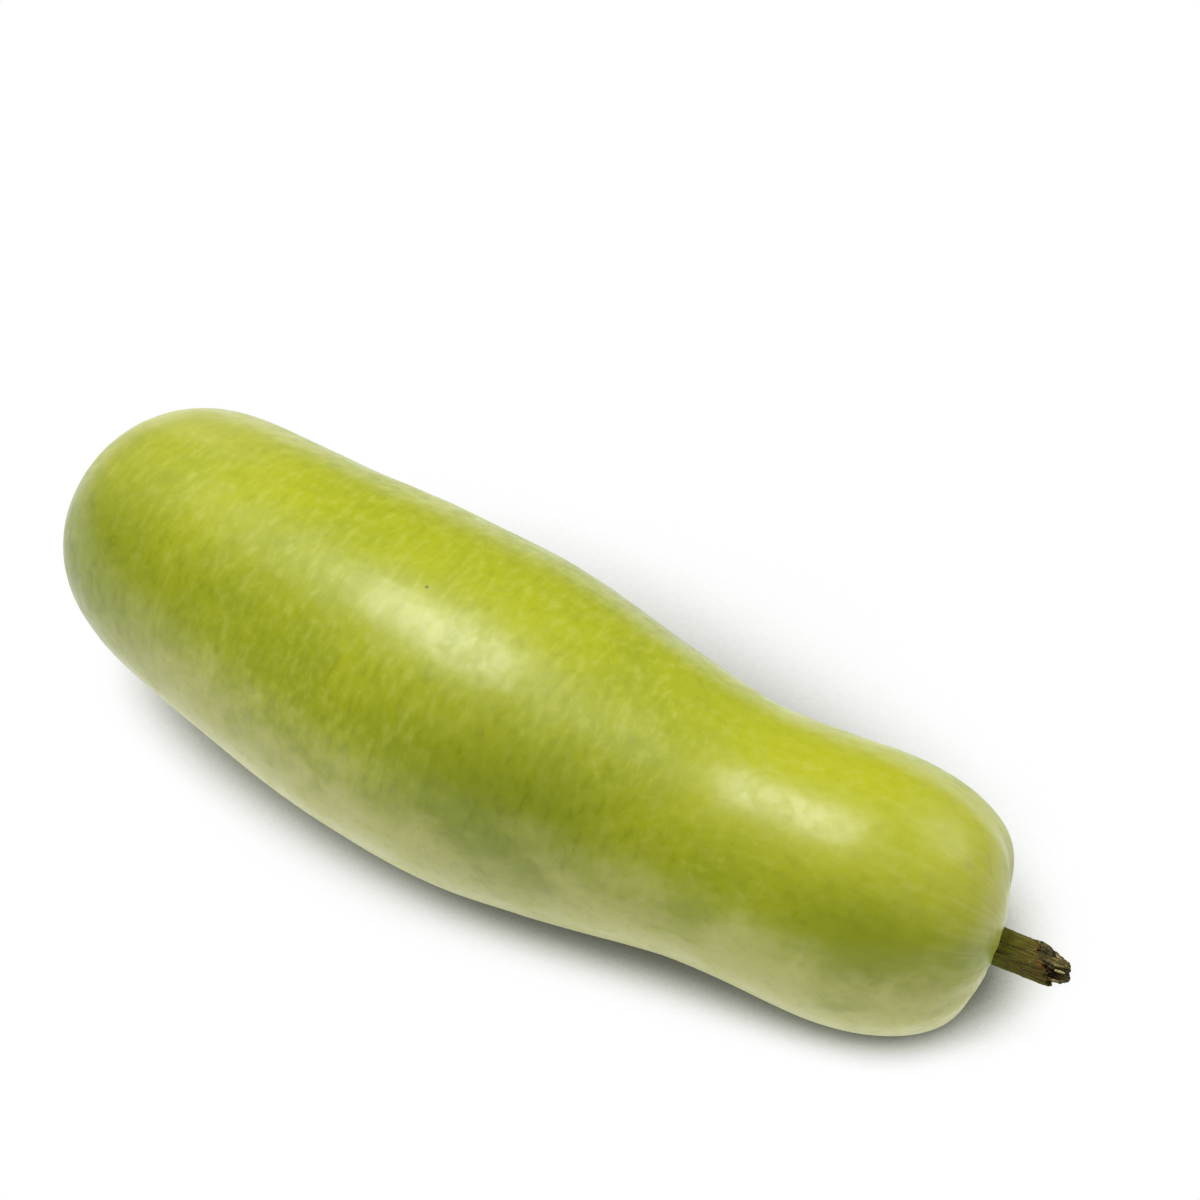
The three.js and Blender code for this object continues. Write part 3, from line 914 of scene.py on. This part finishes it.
class GOURD_OT_fruit(Operator):
    """Models the fruit and its skin"""

    bl_idname = "gourd.fruit"
    bl_label = "Fruit"

    def execute(self, context):
        sizes = context.scene.gourd_fruit
        shape = FruitShape(sizes)
        rings = [(radius, shape.middle(along), *shape.directions(along)) for radius, along in shape.outline()]
        fruit = loft("gourd_fruit", rings, sides=FRUIT_SIDES)
        refine(fruit)
        press_furrows(fruit, shape, sizes)
        roughen(fruit, "lumps", LUMP_SIZE, sizes.lump_height, depth=1)
        roughen(fruit, "dimples", DIMPLE_SIZE, sizes.dimple_height, depth=1)
        keep_inside(fruit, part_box("fruit"))
        press_flat(fruit)
        mark_skin(fruit, shape)
        finish_piece(fruit, skin_finish)
        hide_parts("fruit")
        return {"FINISHED"}


class StemSeat:
    """Where the stem stands on the fruit. Its pieces are modelled along X from its foot and then put here."""

    def __init__(self, context):
        shape = FruitShape(context.scene.gourd_fruit)
        floor_at = shape.outline()[-1][1]
        self.onward, self.side, self.up = shape.directions(floor_at)
        low_side = math.cos(STEM_LOW_SIDE) * self.side + math.sin(STEM_LOW_SIDE) * self.up
        shift = context.scene.gourd_stem.shift
        self.place = shape.middle(floor_at) - self.onward * STEM_SINK + low_side * shift

    def take(self, piece):
        """Marks a piece for its finish and puts it here."""
        mark_round(piece, "stem_place")
        put(piece, self.place, self.onward, self.side, self.up)


def stem_middle(sizes, along, lift=0.0):
    """The stem's middle at a way along it, as (y, z): it leans to its low side, and may be lifted back."""
    sunk = math.tan(sizes.lean) * along - lift
    return sunk * math.cos(STEM_LOW_SIDE), sunk * math.sin(STEM_LOW_SIDE)


def on_stem(sizes, along, turn, radius, lift=0.0):
    """The place at a radius and a turn round the stem's middle."""
    y, z = stem_middle(sizes, along, lift)
    return Vector((along, radius * math.cos(turn) + y, radius * math.sin(turn) + z))


def turns_of(piece, lean=0.0):
    """The way along X of each of a piece's points, and its turn round a middle that leans to the low side."""
    points = points_of(piece)
    sunk = math.tan(lean) * points[:, 0]
    return points[:, 0], np.arctan2(points[:, 2] - sunk * math.sin(STEM_LOW_SIDE),
                                    points[:, 1] - sunk * math.cos(STEM_LOW_SIDE))


def tear(bark, sizes, shortest):
    """Draws the far edge out aslant and in teeth."""
    along, turn = turns_of(bark, sizes.lean)
    slant = 0.5 + 0.5 * np.cos(turn - STEM_LOW_SIDE)
    teeth = ribs(turn, seed=5, count=9, lowest=3, highest=29)
    reach = 2 * sizes.tear_slant * slant + 2 * sizes.tear_raggedness * teeth
    grows = smooth_step(along, 0.15 * shortest, shortest)
    most = 2 * sizes.tear_slant + 2 * sizes.tear_raggedness
    swell(bark, "tear", reach * grows / most, most, way="X")


def raise_ridges(bark, sizes):
    """Raises the stem's main ridges and the finer ribs of its bark."""
    _, turn = turns_of(bark, sizes.lean)
    swell(bark, "ridges", (0.5 + 0.5 * np.cos(STEM_RIDGES * turn)) ** 2, sizes.ridge_height)
    swell(bark, "ribs", ribs(turn, seed=11, count=9, lowest=14, highest=34), BARK_RIB_HEIGHT, level=0.6)


def fray(bark, sizes):
    """Frays the torn edge into fine splinters, and curls it inwards."""
    along, turn = turns_of(bark, sizes.lean)
    slant = sizes.tear_slant * np.cos(turn - STEM_LOW_SIDE)
    edge = sizes.bark_length + slant
    near_edge = smooth_step(along, edge - FRAY_LENGTH, edge)
    splinters = ribs(turn, seed=17, count=12, lowest=24, highest=80) ** 1.5
    swell(bark, "splinters", near_edge * splinters, FRAY_HEIGHT, level=0.3, way="X")
    outside = np.hypot(points_of(bark)[:, 1], points_of(bark)[:, 2])
    swell(bark, "curl", near_edge * smooth_step(outside, 0, sizes.radius) * 0.8, -FRAY_CURL)


class GOURD_OT_stem_bark(Operator):
    """Models the stem's ridged bark, torn off aslant"""

    bl_idname = "gourd.stem_bark"
    bl_label = "Stem bark"

    def execute(self, context):
        sizes = context.scene.gourd_stem
        shortest = sizes.bark_length - sizes.tear_slant - sizes.tear_raggedness
        profile = []
        for share in np.linspace(0, 1, BARK_RINGS):
            along = shortest * share
            waist = BARK_WAIST * math.sin(math.pi * share)
            profile.append((sizes.radius - waist, along, *stem_middle(sizes, along)))
        bark = loft("stem_bark", straight_rings(profile), sides=BARK_SIDES, closed=(False, False))
        tear(bark, sizes, shortest)
        modify(bark, "SOLIDIFY", thickness=sizes.bark_thickness, offset=-1.0, use_even_offset=True)
        refine(bark)
        raise_ridges(bark, sizes)
        fray(bark, sizes)
        roughen(bark, "bark_grit", BARK_GRIT, BARK_GRIT_HEIGHT)
        StemSeat(context).take(bark)
        finish_piece(bark, bark_finish)
        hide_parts("stem")
        return {"FINISHED"}


def add_core(sizes):
    """The core tapers out of the bark to a ragged tip, and has rotted away on one side."""
    profile = [(radius * MM, along * MM, *stem_middle(sizes, along * MM, lift * MM))
               for along, radius, lift in CORE_OUTLINE]
    core = loft("stem_core", straight_rings(profile), sides=48)
    refine(core)
    along, turn = turns_of(core, sizes.lean)
    swell(core, "ribs", ribs(turn, seed=23, count=10, lowest=8, highest=30), CORE_RIB_HEIGHT, level=0.6)
    ragged = smooth_step(along, sizes.length - CORE_TIP_FROM, sizes.length - CORE_TIP_FULL)
    low = 0.5 + 0.5 * np.cos(turn - STEM_LOW_SIDE)
    tip = 0.6 * ribs(turn, seed=31, count=8, lowest=2, highest=13) + 0.4 * low
    swell(core, "tip", ragged * tip, CORE_TIP_HEIGHT, level=0.55, way="X")
    for pit, side, start, end, depth in CORE_PITS:
        around = smooth_step(np.cos(turn - side), *PIT_ACROSS)
        begun = smooth_step(along, start * MM, (start + PIT_SHOULDER) * MM)
        ended = smooth_step(along, (end - PIT_SHOULDER) * MM, end * MM)
        swell(core, pit, around * (begun * (1 - ended)), -depth * MM)
    roughen(core, "core_grit", CORE_GRIT, CORE_GRIT_HEIGHT, depth=3)
    return core


def scatter(model, copies):
    """Copies a piece modelled along X, with +Z outwards, to (place, turn round X, lean outwards, size),
    each with its own mesh, and joins them in the model."""
    made = []
    for place, turn, lean, size in copies:
        pick(model)
        bpy.ops.object.duplicate(linked=False)
        made.append(bpy.context.object)
        place_by(made[-1], Matrix.Translation(place) @ Matrix.Rotation(turn - math.pi / 2, 4, "X")
                 @ Matrix.Rotation(-lean, 4, "Y") @ Matrix.Scale(size, 4))
    name = model.name
    bpy.data.objects.remove(model, do_unlink=True)
    pick(*made)
    bpy.ops.object.join()
    made[0].name = name
    return made[0]


def add_fibres(name, sizes):
    """Blunt strands that lie along the tapering core, most of them on one side. One is modelled, and its
    copies are turned and resized."""
    strand = loft(name, curved_rings(STRAND_OUTLINE), sides=7)
    draw = random.Random(41)
    copies = []
    for number in range(STRANDS):
        if number < SIDE_STRANDS:
            turn = STEM_STRAND_SIDE + draw.uniform(-STRAND_SPREAD, STRAND_SPREAD)
        else:
            turn = draw.uniform(0, 2 * math.pi)
        along = draw.uniform(STRANDS_FROM, STRANDS_TO)
        ring = STRAND_RING - (along - STRANDS_FROM) * STRAND_TAPER
        place = on_stem(sizes, along, turn, ring, STRAND_LIFT)
        copies.append((place, turn, draw.uniform(*STRAND_LEAN), draw.uniform(*STRAND_SIZE)))
    return scatter(strand, copies)


def add_flakes(name, sizes):
    """Flat splinters of bark along the tear. One is modelled, and its copies are turned and resized."""
    flake = loft(name, curved_rings(FLAKE_OUTLINE), sides=10)
    resize(flake, (1, 1, FLAKE_FLATNESS), (0, 0, 0))
    draw = random.Random(53)
    copies = []
    for number in range(FLAKES):
        turn = FLAKES_FROM + 2 * math.pi * number / FLAKES + draw.uniform(-FLAKE_SPREAD, FLAKE_SPREAD)
        slant = sizes.tear_slant * math.cos(turn - STEM_LOW_SIDE)
        along = sizes.bark_length + slant - draw.uniform(*FLAKE_BEHIND) * MM
        place = on_stem(sizes, along, turn, sizes.radius - FLAKE_DEPTH)
        copies.append((place, turn, draw.uniform(*FLAKE_LEAN), draw.uniform(*FLAKE_SIZE)))
    return scatter(flake, copies)


class GOURD_OT_stem_core(Operator):
    """Models the stem's broken woody core and the strands that stand out of it"""

    bl_idname = "gourd.stem_core"
    bl_label = "Stem core"

    def execute(self, context):
        sizes = context.scene.gourd_stem
        seat = StemSeat(context)
        core = add_core(sizes)
        seat.take(core)
        finish_piece(core, wood_finish)
        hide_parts("stem")
        for name, finish, make in (("stem_fibres", fibre_finish, add_fibres),
                                   ("stem_flakes", flake_finish, add_flakes)):
            piece = make(name, sizes)
            seat.take(piece)
            finish_piece(piece, finish)
            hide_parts("stem")
        return {"FINISHED"}


class GOURD_OT_blossom_scar(Operator):
    """Models the corky scar that the blossom left"""

    bl_idname = "gourd.blossom_scar"
    bl_label = "Blossom scar"

    def execute(self, context):
        shape = FruitShape(context.scene.gourd_fruit)
        floor_at = shape.outline()[0][1]
        onward, side, up = shape.directions(floor_at)
        profile = [(radius * MM, height * MM) for radius, height in SCAR_OUTLINE]
        scar = loft("blossom_scar", straight_rings(profile), sides=40)
        refine(scar)
        _, turn = turns_of(scar)
        cracks = ribs(turn, seed=61, count=6, lowest=5, highest=13)
        swell(scar, "cracks", cracks, SCAR_CRACK_HEIGHT, level=0.7)
        roughen(scar, "scar_grit", SCAR_GRIT, SCAR_GRIT_HEIGHT)
        mark_round(scar, "stem_place")
        put(scar, shape.middle(floor_at), -onward, side, -up)
        face_outwards(scar)
        finish_piece(scar, cork_finish)
        return {"FINISHED"}


FLOOR_SIZE = 8
SENSOR_WIDTH = 36


def add_camera(context, stage):
    """Looks at the gourd from the stage's angles."""
    back = Vector((math.sin(stage.azimuth) * math.cos(stage.elevation),
                   -math.cos(stage.azimuth) * math.cos(stage.elevation),
                   math.sin(stage.elevation)))
    place = Vector(stage.aim) + back * stage.distance
    bpy.ops.object.camera_add(location=place, rotation=back.to_track_quat("Z", "Y").to_euler())
    camera = context.object
    camera.name = "camera"
    camera.data.lens = stage.focal_length
    camera.data.sensor_width = SENSOR_WIDTH
    context.scene.camera = camera


def add_floor(stage):
    """Lays the floor at the height that the gourd rests on."""
    bpy.ops.mesh.primitive_plane_add(size=FLOOR_SIZE, location=(0, 0, 0))
    floor = bpy.context.object
    floor.name = "stage_floor"
    floor.data.materials.append(floor_finish(stage))


def add_lights(context, stage):
    """Hangs the two soft boxes and lights the sky."""
    for name, place, size, power in (
            ("soft_box", stage.lamp_place, stage.lamp_size, stage.lamp_power),
            ("back_box", stage.back_lamp_place, stage.back_lamp_size, stage.back_lamp_power)):
        place = Vector(place)
        back = place.normalized()
        across = back.cross(Vector((1, 0, 0))).normalized()
        turn = Matrix((across.cross(back), across, back)).transposed().to_euler()
        bpy.ops.object.light_add(type="AREA", location=place, rotation=turn)
        lamp = context.object
        lamp.name = name
        lamp.data.shape = "RECTANGLE"
        lamp.data.size, lamp.data.size_y = size
        lamp.data.energy = power
    world = bpy.data.worlds.new("stage_world")
    sky_light(world, stage)
    context.scene.world = world


class GOURD_OT_stage(Operator):
    """Lays the floor, hangs the lamps and sets up the camera"""

    bl_idname = "gourd.stage"
    bl_label = "Stage"

    def execute(self, context):
        stage = context.scene.gourd_stage
        add_camera(context, stage)
        add_floor(stage)
        add_lights(context, stage)
        context.scene.view_settings.view_transform = "Standard"
        return {"FINISHED"}


class GOURD_PT_panel(Panel):
    """Lists the gourd's operators and sizes"""

    bl_idname = "GOURD_PT_panel"
    bl_label = "Bottle Gourd"
    bl_space_type = "VIEW_3D"
    bl_region_type = "UI"
    bl_category = "Gourd"

    def draw(self, context):
        column = self.layout.column()
        for operator in OPERATORS:
            column.operator(operator.bl_idname)
        for name, settings in SETTINGS.items():
            box = self.layout.box()
            for prop in settings.__annotations__:
                box.prop(getattr(context.scene, name), prop)


OPERATORS = (GOURD_OT_stage, GOURD_OT_fruit, GOURD_OT_blossom_scar, GOURD_OT_stem_bark, GOURD_OT_stem_core)
CLASSES = (*SETTINGS.values(), *OPERATORS, GOURD_PT_panel)


def register():
    for cls in CLASSES:
        bpy.utils.register_class(cls)
    for name, settings in SETTINGS.items():
        setattr(bpy.types.Scene, name, PointerProperty(type=settings))


def unregister():
    for name in SETTINGS:
        delattr(bpy.types.Scene, name)
    for cls in reversed(CLASSES):
        bpy.utils.unregister_class(cls)


def main():
    register()
    bpy.ops.gourd.stage()
    bpy.ops.gourd.fruit()
    bpy.ops.gourd.blossom_scar()
    bpy.ops.gourd.stem_bark()
    bpy.ops.gourd.stem_core()


if __name__ == "__main__":
    main()
